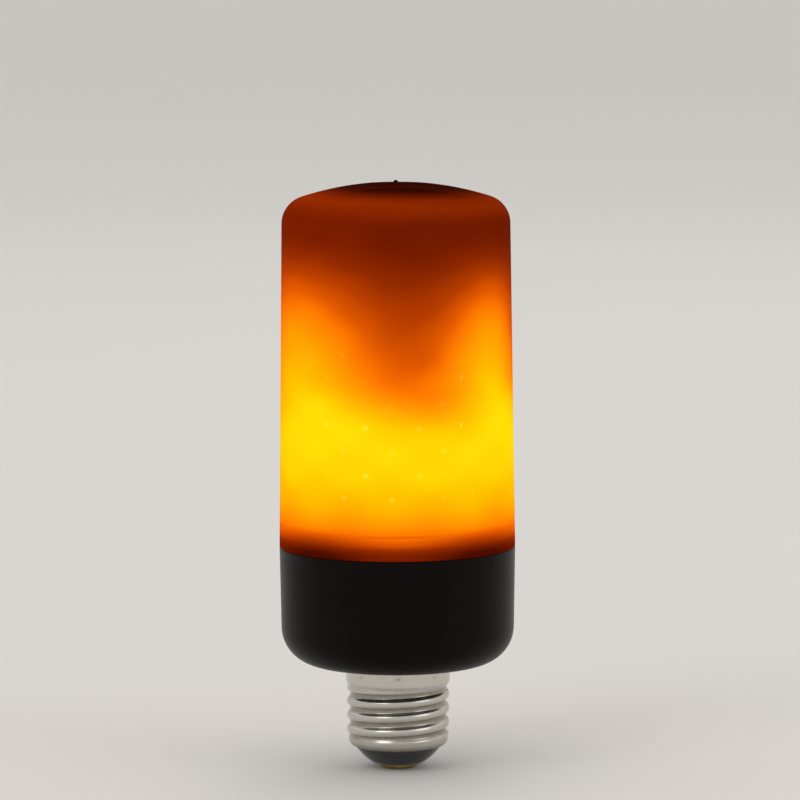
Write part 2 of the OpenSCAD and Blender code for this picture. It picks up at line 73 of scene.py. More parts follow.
# Half the width of the chips' resin bodies, without their legs
PACKAGE_HALF = 1.95*MM

# Level of the flame's light over the height above the seam in mm: rising out of the housing's shadow,
# then up a trough between two tongues, or up a tongue
RISE = ((0, 0.05), (1, 0.08), (2.5, 0.21), (4, 0.45), (7, 0.67), (10, 0.785), (16, 0.9), (24, 0.965))
TROUGH = ((31, 0.935), (36, 0.82), (42, 0.66), (48, 0.58), (62, 0.415), (70, 0.275), (77, 0.135),
          (84, 0.115))
TONGUE = ((33, 0.99), (45, 0.9), (57, 0.765), (66, 0.59), (75, 0.305), (80, 0.155), (84, 0.13))
GLOW_TOP = 84
# Colour of the glow at each level, from an ember's brown red to yellow
FLAME_COLOURS = ((0.0, "#480B00"), (0.15, "#771D00"), (0.3, "#922A00"), (0.45, "#B83E00"), (0.58, "#E35A00"),
                 (0.66, "#FE7700"), (0.8, "#FFA002"), (0.9, "#FFC000"), (1.0, "#FFE406"))
# Colour of the dome at each distance in mm from the middle of the column's shadow
DOME_COLOURS = ((0, "#2A0500"), (14, "#300700"), (16, "#430C00"), (18, "#5D1500"), (20, "#711D00"),
                (22, "#862500"), (25, "#8D2A00"), (27, "#862400"), (30, "#721B00"))
DOME_REACH = 30

# Soft boxes: the main one at the left, a weaker one at the right, and one above and behind, each with its
# place and width in metres and its watts
SOFT_BOXES = (("main_softbox", (-1.1, -1.3, 1.5), 1.1, 7.0),
              ("side_softbox", (1.5, -0.9, 0.9), 1.0, 3.0),
              ("back_softbox", (0.3, 1.4, 1.6), 1.2, 4.0))


def hex_colour(code):
    """Linear RGBA from an sRGB hex code."""
    channels = [int(code[i:i + 2], 16)/255 for i in (1, 3, 5)]
    linear = [c/12.92 if c <= 0.04045 else ((c + 0.055)/1.055)**2.4 for c in channels]
    return (*linear, 1.0)


def size_property(name, description, default):
    """A length in metres, shown in the scene's units."""
    return bpy.props.FloatProperty(name=name, description=description, default=default, min=0.0,
                                   precision=5, subtype="DISTANCE", unit="LENGTH")


def angle_property(name, description, degrees):
    """An angle, given here in degrees."""
    return bpy.props.FloatProperty(name=name, description=description, default=math.radians(degrees),
                                   subtype="ANGLE", unit="ROTATION")


def share_property(name, description, default, maximum=1.0):
    """A plain number from zero up."""
    return bpy.props.FloatProperty(name=name, description=description, default=default, min=0.0,
                                   max=maximum, subtype="FACTOR" if maximum == 1.0 else "NONE")


def colour_property(name, description, code):
    """A colour, given as an sRGB hex code."""
    return bpy.props.FloatVectorProperty(name=name, description=description, default=hex_colour(code),
                                         size=4, min=0.0, max=1.0, subtype="COLOR")


def count_property(name, description, default):
    """A whole number from one up."""
    return bpy.props.IntProperty(name=name, description=description, default=default, min=1)


class CoverSizes(bpy.types.PropertyGroup):
    """Sizes of the frosted cover."""
    seam_r: size_property("Seam radius", "Radius of the cover where it meets the housing", 30*MM)
    height: size_property("Height", "Height of the dome's crown above the seam", 92.7*MM)
    wall: size_property("Wall", "Thickness of the moulding", 1.7*MM)
    draft: angle_property("Draft", "Lean of the side towards the top", 0.73)
    dome_r: size_property("Dome radius", "Radius of the shallow dome", 79*MM)
    edge_r: size_property("Edge radius", "Radius between the side and the dome", 7*MM)
    dimple_r: size_property("Dimple radius", "Radius of the shallow dimple in the dome", 8.3*MM)
    dimple_depth: size_property("Dimple depth", "Depth of the dimple", 0.25*MM)
    gate_r: size_property("Gate radius", "Radius of the moulding gate's mark", 0.6*MM)
    gate_h: size_property("Gate height", "Height of the gate's mark above the crown", 0.5*MM)
    bevel: size_property("Rim bevel", "Bevel on the rims of the seam", 0.3*MM)
    bead_up: size_property("Bead height", "Height of the snap bead above the seam", 2.2*MM)
    bead_w: size_property("Bead half width", "Half the width of the snap bead", 0.7*MM)
    bead_grip: size_property("Bead grip", "How far the snap bead reaches into its groove", 0.3*MM)


class HousingSizes(bpy.types.PropertyGroup):
    """Sizes of the dark housing."""
    draft: angle_property("Draft", "Lean of the side towards the cap", 1.0)
    edge_r: size_property("Edge radius", "Radius between the side and the floor", 9.5*MM)
    floor_t: size_property("Floor", "Thickness of the floor", 2.4*MM)
    spigot_wall: size_property("Spigot wall", "Wall of the spigot inside the cover", 1.2*MM)
    neck_wall: size_property("Neck wall", "Wall of the neck inside the screw cap", 1.9*MM)
    cavity_draft: angle_property("Cavity draft", "Lean of the inner wall towards the floor", 0.5)
    post_r: size_property("Post radius", "Radius of the screw posts", 2.7*MM)
    bore_r: size_property("Bore radius", "Radius of the holes in the posts", 1.15*MM)
    board_bore: size_property("Board bore", "Depth of the holes in the short posts", 7*MM)
    board_post_gap: size_property("Board post gap", "From the short posts to the wall", 2.8*MM)
    carrier_bore: size_property("Carrier bore", "Depth of the holes in the tall posts", 8*MM)
    carrier_post_gap: size_property("Carrier post gap", "From the tall posts to the wall", 0.5*MM)
    rib_t: size_property("Rib", "Thickness of the ribs behind the tall posts", 1.6*MM)
    board_post_turn: angle_property("Board post turn", "Turn of the first short post", 50)
    carrier_post_turn: angle_property("Carrier post turn", "Turn of the first tall post", 110)


class CapSizes(bpy.types.PropertyGroup):
    """Sizes of the screw cap."""
    major_r: size_property("Crest radius", "Radius over the thread's crests", 13.1*MM)
    minor_r: size_property("Root radius", "Radius at the thread's roots", 12.2*MM)
    pitch: size_property("Pitch", "Rise of the thread in one turn", 3.62*MM)
    sheet: size_property("Sheet", "Thickness of the rolled sheet", 0.3*MM)
    skirt_h: size_property("Skirt", "Height of the plain skirt", 4.4*MM)
    flare_h: size_property("Flare", "Height of the flare under the skirt", 1.4*MM)
    lip_r: size_property("Lip radius", "Radius of the lip that curls over the insulator", 1.6*MM)
    crimps: count_property("Crimps", "Number of dents that lock the skirt", 8)
    crimp_r: size_property("Crimp radius", "Radius of the dents that lock the skirt", 1.3*MM)
    crimp_depth: size_property("Crimp depth", "Depth of the dents that lock the skirt", 0.22*MM)
    web_t: size_property("Web", "Insulator's thickness under the rivet's head", 3*MM)
    contact_t: size_property("Contact", "Thickness of the centre contact", 1.2*MM)
    rivet_r: size_property("Rivet radius", "Radius of the contact's rivet", 1.9*MM)


class GlowLook(bpy.types.PropertyGroup):
    """Shape and strength of the flame that glows through the cover."""
    tongues: count_property("Tongues", "Flame tongues round the bulb", 3)
    root_turn: angle_property("Root turn", "Turn of the front trough between two tongues, at its root", 22.9)
    tip_turn: angle_property("Tip turn", "Turn of the same trough above its root", 7.2)
    root_low: size_property("Root", "Height above the seam where the troughs start to twist", 33*MM)
    root_high: size_property("Root end", "Height above the seam where the troughs stop twisting", 45*MM)
    skew: angle_property("Skew", "How unevenly the tongues stand round the bulb", 68)
    skew_turn: angle_property("Skew turn", "Turn round which they stand unevenly", -16)
    back_weak: share_property("Back", "How much weaker the tongue at the back is", 0.3)
    dim_turn: angle_property("Dim turn", "Turn of the side that burns lower", -115)
    dim: share_property("Dim", "How much lower that side burns", 0.14)
    lean: share_property("Lean", "How much brighter the dome's left is than its middle", 0.13)
    patches: share_property("Patches", "Depth of the four patches in the housing's shadow", 0.09)
    # The painted shadow line that the rim of the carrier's flange throws
    rim_shadow_line: share_property("Rim line", "Depth of the line that the carrier's flange draws", 0.07)
    halo: share_property("Halo", "Strength of the halo round each LED", 0.016)
    spot_strength: share_property("Spots", "Strength of the LEDs' windows", 60.0, 100.0)
    opacity: share_property("Opacity", "Share of the light that each face of the cover stops", 0.95)


class ColumnSizes(bpy.types.PropertyGroup):
    """Places of the LEDs on their column."""
    per_row: count_property("LEDs in a row", "LEDs round the column", 9)
    first_up: size_property("First row", "Height of the lowest row above the seam", 14.1*MM)
    row_pitch: size_property("Row pitch", "Distance between two rows", 6*MM)
    row_turn: angle_property("Row turn", "Turn of the lowest row's first LED from the front", -3.65)
    window_r: size_property("Window", "Distance from the axis to the floor of the LEDs' windows", 19.55*MM)


class StageLook(bpy.types.PropertyGroup):
    """Camera, lamps and floor."""
    aim_z: size_property("Aim height", "Height that the camera aims at", 94.29*MM)
    aim_x: size_property("Aim side", "How far right of the axis the camera aims", 0.83*MM)
    distance: size_property("Distance", "Distance from the camera to the bulb's axis", 1.2)
    pitch: angle_property("Pitch", "How far the camera looks down", 6.14)
    roll: angle_property("Roll", "Turn of the camera about its own view", -0.25)
    lens: bpy.props.FloatProperty(name="Lens", description="Focal length on a 36 mm sensor",
                                  default=212.7, min=1.0, subtype="DISTANCE_CAMERA")
    flat_r: size_property("Flat floor", "Radius of the floor's flat middle", 2)
    sweep_r: size_property("Sweep radius", "Radius of the curve in which the floor rises", 12)
    sweep_turn: angle_property("Sweep turn", "How far the floor turns up towards its edge", 40)
    floor: colour_property("Floor", "Colour of the floor and backdrop", "#E4E1DC")
    world_strength: share_property("World", "Strength of the even light from all round", 0.75, 10.0)


def deselect_everything():
    """Leaves no object selected, so that the next operator acts on its own piece alone."""
    bpy.ops.object.select_all(action="DESELECT")


def arc(centre, radius, start, end, steps):
    """Points of an arc in the (radius, height) plane, both ends included."""
    turns = [start + (end - start)*i/steps for i in range(steps + 1)]
    return [(centre[0] + radius*math.cos(t), centre[1] + radius*math.sin(t)) for t in turns]


def blend(share):
    """Smooth step from 0 to 1."""
    share = min(1.0, max(0.0, share))
    return share*share*(3 - 2*share)


def clean_mesh(merge=2e-6):
    """Merges the doubles, drops what is left loose and turns all faces outwards."""
    bpy.ops.mesh.select_all(action="SELECT")
    bpy.ops.mesh.remove_doubles(threshold=merge)
    bpy.ops.mesh.delete_loose()
    bpy.ops.mesh.select_all(action="SELECT")
    bpy.ops.mesh.normals_make_consistent(inside=False)


def spin_outline(name, outline, sides=SIDES):
    """Draws a closed outline point by point, then spins it round the bulb's axis."""
    deselect_everything()
    bpy.ops.mesh.primitive_plane_add(size=MM, location=(outline[0][0], 0, outline[0][1]))
    piece = bpy.context.object
    piece.name = name
    bpy.ops.object.mode_set(mode="EDIT")
    bpy.ops.mesh.select_mode(type="VERT")
    bpy.ops.mesh.select_all(action="SELECT")
    bpy.ops.mesh.merge(type="CENTER")
    for (r, z), (next_r, next_z) in zip(outline, outline[1:] + outline[:1]):
        bpy.ops.mesh.extrude_vertices_move(TRANSFORM_OT_translate={"value": (next_r - r, 0, next_z - z)})
    bpy.ops.mesh.select_all(action="SELECT")
    bpy.ops.mesh.spin(steps=sides, angle=math.tau, center=(0, 0, 0), axis=(0, 0, 1))
    clean_mesh()
    bpy.ops.object.mode_set(mode="OBJECT")
    bpy.ops.object.transform_apply(location=True, rotation=True, scale=True)
    return piece


def finish_piece(piece, material, slot, *nodes):
    """Smooths a piece, gives it its finish and lets it stand for its CAD nodes."""
    deselect_everything()
    piece.select_set(True)
    bpy.context.view_layer.objects.active = piece
    bpy.ops.object.shade_smooth_by_angle(angle=SMOOTH_ANGLE)
    piece.data.materials.clear()
    piece.data.materials.append(material)
    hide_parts(*nodes)
    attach(piece, BODY)


def connect(tree, node, inputs):
    """Fills a node's inputs with numbers or colours, or links them to a socket or a node's first output."""
    for name, value in inputs.items():
        if isinstance(value, bpy.types.Node):
            value = value.outputs[0]
        if isinstance(value, bpy.types.NodeSocket):
            tree.links.new(value, node.inputs[name])
        else:
            node.inputs[name].default_value = value


def add_node(tree, kind, settings=None, inputs=None):
    """Adds a node, sets its properties and fills its inputs."""
    node = tree.nodes.new("ShaderNode" + kind)
    for name, value in (settings or {}).items():
        setattr(node, name, value)
    connect(tree, node, inputs or {})
    return node


def new_material(name, **sockets):
    """A material with one Principled shader, whose sockets are given by name, and places on the object."""
    material = bpy.data.materials.new(name)
    material.use_nodes = True
    tree = material.node_tree
    tree.nodes.clear()
    shader = add_node(tree, "BsdfPrincipled", inputs={
        key.replace("_", " "): value for key, value in sockets.items()})
    add_node(tree, "OutputMaterial", inputs={"Surface": shader})
    place = add_node(tree, "TexCoord").outputs["Object"]
    return material, tree, shader, place


def set_stops(ramp_node, stops):
    """Sets a colour ramp's stops from (place, hex code) pairs."""
    elements = ramp_node.color_ramp.elements
    while len(elements) > 1:
        elements.remove(elements[-1])
    elements[0].position, elements[0].color = stops[0][0], hex_colour(stops[0][1])
    for place, code in stops[1:]:
        elements.new(place).color = hex_colour(code)


def set_curve(curve_node, points):
    """Sets a float curve from (place, value) pairs, from 0 to 1."""
    line = curve_node.mapping.curves[0]
    line.points[0].location, line.points[1].location = points[0], points[-1]
    for point in points[1:-1]:
        line.points.new(*point)
    for point in line.points:
        point.handle_type = "AUTO_CLAMPED"
    curve_node.mapping.update()


def round_axis(tree, place):
    """Turn from the front, height and distance from the axis of a place on the bulb."""
    axes = add_node(tree, "SeparateXYZ", inputs={0: place})
    front = add_node(tree, "Math", {"operation": "MULTIPLY"}, {0: axes.outputs["Y"], 1: -1.0})
    turn = add_node(tree, "Math", {"operation": "ARCTAN2"}, {0: axes.outputs["X"], 1: front})
    flat = add_node(tree, "Mapping", inputs={"Vector": place, "Scale": (1, 1, 0)})
    out = add_node(tree, "VectorMath", {"operation": "LENGTH"}, {0: flat})
    return turn, axes.outputs["Z"], out.outputs["Value"]


def flame_level(tree, glow, turn, height):
    """Level of the flame's light, from 0 to 1: the curve up a tongue is mixed with the curve up a trough
    between two tongues."""
    # The troughs twist between root and tip, and a skew sets the tongues unevenly
    trough_turn = add_node(tree, "MapRange", inputs={
        "Value": height, "From Min": SEAM_Z + glow.root_low, "From Max": SEAM_Z + glow.root_high,
        "To Min": glow.root_turn, "To Max": glow.tip_turn})
    away = add_node(tree, "Math", {"operation": "SUBTRACT"}, {0: turn, 1: trough_turn})
    side = add_node(tree, "Math", {"operation": "SUBTRACT"}, {0: turn, 1: glow.skew_turn})
    side = add_node(tree, "Math", {"operation": "COSINE"}, {0: side})
    skew = add_node(tree, "Math", {"operation": "MULTIPLY_ADD"}, {0: side, 1: -glow.skew, 2: glow.skew})
    phase = add_node(tree, "Math", {"operation": "MULTIPLY_ADD"}, {0: away, 1: glow.tongues, 2: skew})
    wave = add_node(tree, "Math", {"operation": "COSINE"}, {0: phase})
    tongue = add_node(tree, "Math", {"operation": "MULTIPLY_ADD"}, {0: wave, 1: -0.5, 2: 0.5})
    # The tongue at the back is weaker
    front = add_node(tree, "Math", {"operation": "COSINE"}, {0: turn})
    back = add_node(tree, "Math", {"operation": "MINIMUM"}, {0: front, 1: 0.0})
    back = add_node(tree, "Math", {"operation": "MULTIPLY_ADD"}, {0: back, 1: glow.back_weak, 2: 1.0})
    tongue = add_node(tree, "Math", {"operation": "MULTIPLY"}, {0: tongue, 1: back})

    share = add_node(tree, "MapRange", inputs={
        "Value": height, "From Min": SEAM_Z, "From Max": SEAM_Z + GLOW_TOP*MM})
    levels = []
    for upper in (TROUGH, TONGUE):
        curve = add_node(tree, "FloatCurve", inputs={"Value": share})
        set_curve(curve, [(up/GLOW_TOP, level) for up, level in RISE + upper])
        levels.append(curve)
    return add_node(tree, "Mix", {"data_type": "FLOAT"}, {"Factor": tongue, 2: levels[0], 3: levels[1]})


def led_lattice(tree, column, turn, height, held):
    """Level that is 1 at each LED's place and falls to -1 between the LEDs, whose rows are staggered.
    If held, it doesn't go on below the lowest row."""
    rows = 20
    spokes = add_node(tree, "Math", {"operation": "MULTIPLY_ADD"},
                      {0: turn, 1: column.per_row, 2: -column.per_row*column.row_turn})
    spokes = add_node(tree, "Math", {"operation": "COSINE"}, {0: spokes})
    level = add_node(tree, "MapRange", {"clamp": held}, {
        "Value": height, "From Min": SEAM_Z + column.first_up,
        "From Max": SEAM_Z + column.first_up + rows*column.row_pitch, "To Max": rows*math.pi})
    level = add_node(tree, "Math", {"operation": "COSINE"}, {0: level})
    return add_node(tree, "Math", {"operation": "MULTIPLY"}, {0: spokes, 1: level})


def shade_by_housing(tree, glow, turn, height, level):
    """The flame's level in the housing's shadow, where the light comes through in four broad patches."""
    patch_count, fade_from, fade_to = 4, SEAM_Z + 4*MM, SEAM_Z + 7.5*MM
    line_half_w = 0.5*MM
    around = add_node(tree, "Math", {"operation": "MULTIPLY"}, {0: turn, 1: patch_count})
    patch = add_node(tree, "Math", {"operation": "COSINE"}, {0: around})
    depth = add_node(tree, "MapRange", inputs={
        "Value": height, "From Min": fade_from, "From Max": fade_to, "To Min": glow.patches, "To Max": 0.0})
    level = add_node(tree, "Math", {"operation": "MULTIPLY_ADD"}, {0: patch, 1: depth, 2: level})
    # Painted shadow: the rim of the carrier's flange throws a thin darker line where those patches are
    # brightest
    off = add_node(tree, "Math", {"operation": "SUBTRACT"}, {0: height, 1: FLANGE_TOP_Z})
    off = add_node(tree, "Math", {"operation": "ABSOLUTE"}, {0: off})
    rim = add_node(tree, "MapRange", inputs={
        "Value": off, "From Max": line_half_w, "To Min": -glow.rim_shadow_line, "To Max": 0.0})
    bright = add_node(tree, "Math", {"operation": "MAXIMUM"}, {0: patch, 1: 0.0})
    return add_node(tree, "Math", {"operation": "MULTIPLY_ADD"}, {0: rim, 1: bright, 2: level})


def add_halos(tree, glow, column, turn, height, level):
    """The flame's level with a soft halo round each LED, strongest below the lowest row."""
    low_from, low_to = SEAM_Z + 5*MM, SEAM_Z + 9*MM
    high_from, high_to = SEAM_Z + 14*MM, SEAM_Z + 22*MM
    halo = led_lattice(tree, column, turn, height, held=True)
    gain = add_node(tree, "MapRange", inputs={
        "Value": height, "From Min": low_from, "From Max": low_to, "To Max": glow.halo})
    loss = add_node(tree, "MapRange", inputs={
        "Value": height, "From Min": high_from, "From Max": high_to, "To Max": glow.halo/2})
    depth = add_node(tree, "Math", {"operation": "SUBTRACT"}, {0: gain, 1: loss})
    return add_node(tree, "Math", {"operation": "MULTIPLY_ADD"}, {0: halo, 1: depth, 2: level})


def dim_one_side(tree, glow, turn, level):
    """The flame's level, a little lower on one side."""
    narrowness = 6.0
    away = add_node(tree, "Math", {"operation": "SUBTRACT"}, {0: turn, 1: glow.dim_turn})
    away = add_node(tree, "Math", {"operation": "COSINE"}, {0: away})
    away = add_node(tree, "Math", {"operation": "MAXIMUM"}, {0: away, 1: 0.0})
    away = add_node(tree, "Math", {"operation": "POWER"}, {0: away, 1: narrowness})
    share = add_node(tree, "Math", {"operation": "MULTIPLY_ADD"}, {0: away, 1: -glow.dim, 2: 1.0})
    return add_node(tree, "Math", {"operation": "MULTIPLY"}, {0: level, 1: share})


def dome_colour(tree, place):
    """Colour of the dome, on which the column's end throws a round shadow, a little off the axis."""
    shadow_x, shadow_y = 1.6*MM, -0.6*MM
    shifted = add_node(tree, "Mapping", inputs={
        "Vector": place, "Location": (-shadow_x, -shadow_y, 0), "Scale": (1, 1, 0)})
    out = add_node(tree, "VectorMath", {"operation": "LENGTH"}, {0: shifted})
    ring = add_node(tree, "MapRange", inputs={"Value": out.outputs["Value"], "From Max": DOME_REACH*MM})
    dome = add_node(tree, "ValToRGB", inputs={"Fac": ring})
    set_stops(dome, [(radius/DOME_REACH, code) for radius, code in DOME_COLOURS])
    return dome


def frosted_cover_material(glow, column, cover):
    """Frosted polycarbonate, lit from inside: a matt, milky glow with no sharp gleam."""
    dome_from, dome_to = SEAM_Z + 82.5*MM, SEAM_Z + 87*MM
    lean_from, lean_to = SEAM_Z + 60*MM, SEAM_Z + 78*MM
    material, tree, shader, place = new_material(
        "frosted_polycarbonate_glowing", Base_Color=hex_colour("#0A0201"), Roughness=0.7, IOR=1.58,
        Specular_IOR_Level=0.0, Alpha=glow.opacity, Emission_Strength=1.0)
    turn, height, _ = round_axis(tree, place)
    level = flame_level(tree, glow, turn, height)
    level = shade_by_housing(tree, glow, turn, height, level)
    level = add_halos(tree, glow, column, turn, height, level)
    level = dim_one_side(tree, glow, turn, level)
    # Uneven wall of the moulding, in patches of about 20 mm
    cloud = add_node(tree, "TexNoise", inputs={"Vector": place, "Scale": 1/(20*MM), "Detail": 2.0})
    cloud = add_node(tree, "MapRange", inputs={"Value": cloud, "To Min": -0.02, "To Max": 0.02})
    level = add_node(tree, "Math", {"operation": "ADD"}, {0: level, 1: cloud})
    flame = add_node(tree, "ValToRGB", inputs={"Fac": level})
    set_stops(flame, FLAME_COLOURS)
    above = add_node(tree, "MapRange", {"interpolation_type": "SMOOTHSTEP"}, {
        "Value": height, "From Min": dome_from, "From Max": dome_to})
    colour = add_node(tree, "Mix", {"data_type": "RGBA"}, {
        "Factor": above, 6: flame, 7: dome_colour(tree, place)})
    # Towards the dome the left is brighter than the right
    axes = add_node(tree, "SeparateXYZ", inputs={0: place})
    side = add_node(tree, "MapRange", {"clamp": False}, {
        "Value": axes.outputs["X"], "From Max": cover.seam_r, "To Max": -glow.lean})
    share = add_node(tree, "MapRange", {"interpolation_type": "SMOOTHSTEP"}, {
        "Value": height, "From Min": lean_from, "From Max": lean_to})
    strength = add_node(tree, "Math", {"operation": "MULTIPLY_ADD"}, {0: side, 1: share, 2: 1.0})
    # Etched inner face and satin outer face: a grain of 0.35 mm, under 10 microns deep
    grain = add_node(tree, "TexNoise", inputs={"Vector": place, "Scale": 1/(0.35*MM), "Detail": 3.0})
    rough = add_node(tree, "MapRange", inputs={"Value": grain, "To Min": 0.64, "To Max": 0.76})
    bump = add_node(tree, "Bump", inputs={"Height": grain, "Strength": 0.25, "Distance": 0.01*MM})
    connect(tree, shader, {"Emission Color": colour.outputs[2], "Emission Strength": strength,
                           "Roughness": rough, "Normal": bump})
    return material


def housing_material():
    """Black polycarbonate, injection moulded in a spark-eroded mould: satin, with a fine even grain."""
    material, tree, shader, place = new_material(
        "black_polycarbonate_moulded", IOR=1.58, Specular_IOR_Level=0.06, Roughness=0.36)
    # Flow clouds of about 15 mm change the black a little
    cloud = add_node(tree, "TexNoise", inputs={"Vector": place, "Scale": 1/(15*MM), "Detail": 3.0})
    colour = add_node(tree, "ValToRGB", inputs={"Fac": cloud})
    set_stops(colour, [(0.3, "#080403"), (0.7, "#0D0605")])
    # Spark-eroded grain of 0.3 mm
    grain = add_node(tree, "TexNoise", inputs={"Vector": place, "Scale": 1/(0.3*MM), "Detail": 3.0})
    rough = add_node(tree, "MapRange", inputs={"Value": grain, "To Min": 0.3, "To Max": 0.42})
    bump = add_node(tree, "Bump", inputs={"Height": grain, "Strength": 0.4, "Distance": 0.02*MM})
    connect(tree, shader, {"Base Color": colour, "Roughness": rough, "Normal": bump})
    return material


def nickel_material(cap):
    """Brass sheet, rolled and nickel plated: warm silver with drawn lines round it, painted shade in the
    roots.
    """
    material, tree, shader, place = new_material("nickel_plated_sheet", Metallic=1.0, Roughness=0.24)
    _, _, out = round_axis(tree, place)
    # Painted shade: the colour is darker in the thread's roots
    root = add_node(tree, "MapRange", inputs={
        "Value": out, "From Min": cap.minor_r, "From Max": cap.major_r - 0.2*MM})
    # Blotches of the plating, about 3 mm across
    blotch = add_node(tree, "TexNoise", inputs={"Vector": place, "Scale": 1/(3*MM), "Detail": 4.0})
    tone = add_node(tree, "Math", {"operation": "MULTIPLY_ADD", "use_clamp": True},
                    {0: blotch, 1: 0.5, 2: -0.2})
    # The painted shade in the roots is added to the plating's tone
    tone = add_node(tree, "Math", {"operation": "ADD", "use_clamp": True}, {0: tone, 1: root})
    colour = add_node(tree, "ValToRGB", inputs={"Fac": tone})
    set_stops(colour, [(0.0, "#9B948A"), (1.0, "#CFCBC4")])
    # Rolling lines run round the cap, about 0.12 mm apart
    lines = add_node(tree, "Mapping", inputs={"Vector": place, "Scale": (0.04, 0.04, 1)})
    scratch = add_node(tree, "TexNoise", inputs={"Vector": lines, "Scale": 1/(0.12*MM), "Detail": 2.0})
    rough = add_node(tree, "MapRange", inputs={"Value": scratch, "To Min": 0.16, "To Max": 0.34})
    bump = add_node(tree, "Bump", inputs={"Height": scratch, "Strength": 0.12, "Distance": 0.01*MM})
    connect(tree, shader, {"Base Color": colour, "Roughness": rough, "Normal": bump})
    return material


def plain_finish(name, dark, light, patch, grain_size, roughness, depth, stretch=(1, 1, 1), **sockets):
    """A finish whose colour drifts between two tones over a patch, with a grain that sets gloss and bump."""
    material, tree, shader, place = new_material(name, Roughness=roughness, **sockets)
    cloud = add_node(tree, "TexNoise", inputs={"Vector": place, "Scale": 1/patch, "Detail": 3.0})
    colour = add_node(tree, "ValToRGB", inputs={"Fac": cloud})
    set_stops(colour, [(0.3, dark), (0.7, light)])
    drawn = add_node(tree, "Mapping", inputs={"Vector": place, "Scale": stretch})
    grain = add_node(tree, "TexNoise", inputs={"Vector": drawn, "Scale": 1/grain_size, "Detail": 2.0})
    rough = add_node(tree, "MapRange", inputs={
        "Value": grain, "To Min": roughness*0.8, "To Max": min(1.0, roughness*1.2)})
    bump = add_node(tree, "Bump", inputs={"Height": grain, "Strength": 0.3, "Distance": depth})
    connect(tree, shader, {"Base Color": colour, "Roughness": rough, "Normal": bump})
    return material


def zinc_plated_steel(name):
    """Carbon steel, cold headed and zinc plated: grey with a drift in tone every 1.5 mm."""
    return plain_finish(name, "#8F918E", "#BDBDB8", 1.5*MM, 0.15*MM, 0.35, 0.01*MM, Metallic=1.0)


def led_material(glow, column):
    """Moulded LED package: a white case round a window of phosphor gel, lit where the flame is."""
    # How far out the window's floor reaches, and how straight out a face has to look to be part of it
    floor_reach, straight = column.window_r + 0.07*MM, 0.8
    heart_z = SEAM_Z + 26*MM
    material, tree, shader, place = new_material(
        "led_phosphor_window", Roughness=0.4, IOR=1.5, Emission_Color=hex_colour("#FFE060"))
    turn, height, out = round_axis(tree, place)
    # Only the window's floor faces straight out at this distance from the axis
    near = add_node(tree, "Math", {"operation": "LESS_THAN"}, {0: out, 1: floor_reach})
    flat = add_node(tree, "Mapping", inputs={"Vector": place, "Scale": (1, 1, 0)})
    outward = add_node(tree, "VectorMath", {"operation": "NORMALIZE"}, {0: flat})
    surface = add_node(tree, "NewGeometry")
    facing = add_node(tree, "VectorMath", {"operation": "DOT_PRODUCT"},
                      {0: surface.outputs["Normal"], 1: outward})
    facing = add_node(tree, "Math", {"operation": "GREATER_THAN"}, {0: facing.outputs["Value"], 1: straight})
    window = add_node(tree, "Math", {"operation": "MULTIPLY"}, {0: near, 1: facing})
    # The gel glows over the chip and fades towards the window's rim
    chip = led_lattice(tree, column, turn, height, held=False)
    chip = add_node(tree, "MapRange", {"interpolation_type": "SMOOTHSTEP"}, {
        "Value": chip, "From Min": 0.88, "From Max": 1.0})
    # The lowest rows burn as bright as those in the flame's heart
    heart = add_node(tree, "Math", {"operation": "MAXIMUM"}, {0: height, 1: heart_z})
    lit = add_node(tree, "MapRange", inputs={
        "Value": flame_level(tree, glow, turn, heart), "From Min": 0.74, "From Max": 1.0,
        "To Max": glow.spot_strength})
    # The LEDs aren't equally bright: their strength changes over 7 mm, about from one to the next
    uneven = add_node(tree, "TexNoise", inputs={"Vector": place, "Scale": 1/(7*MM), "Detail": 0.0})
    uneven = add_node(tree, "MapRange", inputs={
        "Value": uneven, "From Min": 0.3, "From Max": 0.7, "To Min": 0.2, "To Max": 1.2})
    strength = window
    for share in (chip, lit, uneven):
        strength = add_node(tree, "Math", {"operation": "MULTIPLY"}, {0: strength, 1: share})
    # Glossy case, its white drifting over 1 mm, and yellow phosphor
    grain = add_node(tree, "TexNoise", inputs={"Vector": place, "Scale": 1/(1*MM), "Detail": 2.0})
    case = add_node(tree, "ValToRGB", inputs={"Fac": grain})
    set_stops(case, [(0.3, "#E6E2D6"), (0.7, "#F0ECE2")])
    colour = add_node(tree, "Mix", {"data_type": "RGBA"}, {
        "Factor": window, 6: case, 7: hex_colour("#E8B84A")})
    connect(tree, shader, {"Base Color": colour.outputs[2], "Emission Strength": strength})
    return material


def package_material(name, node):
    """Epoxy moulding compound with tin-plated legs, told apart by how far they stand from the middle."""
    material, tree, shader, place = new_material(name, IOR=1.55)
    low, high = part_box(node)
    axes = add_node(tree, "SeparateXYZ", inputs={0: place})
    away = add_node(tree, "Math", {"operation": "SUBTRACT"}, {0: axes.outputs["Y"], 1: (low.y + high.y)/2})
    away = add_node(tree, "Math", {"operation": "ABSOLUTE"}, {0: away})
    leg = add_node(tree, "Math", {"operation": "GREATER_THAN"}, {0: away, 1: PACKAGE_HALF + 0.01*MM})
    # Matt resin with a grain of 0.15 mm
    grain = add_node(tree, "TexNoise", inputs={"Vector": place, "Scale": 1/(0.15*MM), "Detail": 2.0})
    resin = add_node(tree, "ValToRGB", inputs={"Fac": grain})
    set_stops(resin, [(0.3, "#151515"), (0.7, "#222222")])
    colour = add_node(tree, "Mix", {"data_type": "RGBA"}, {
        "Factor": leg, 6: resin, 7: hex_colour("#C4C2BC")})
    rough = add_node(tree, "MapRange", inputs={"Value": leg, "To Min": 0.6, "To Max": 0.3})
    connect(tree, shader, {"Base Color": colour.outputs[2], "Metallic": leg, "Roughness": rough})
    return material


def dress_node(name, material):
    """Gives a CAD node that is shown as it is its finish."""
    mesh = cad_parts[name].data
    mesh.materials.clear()
    mesh.materials.append(material)


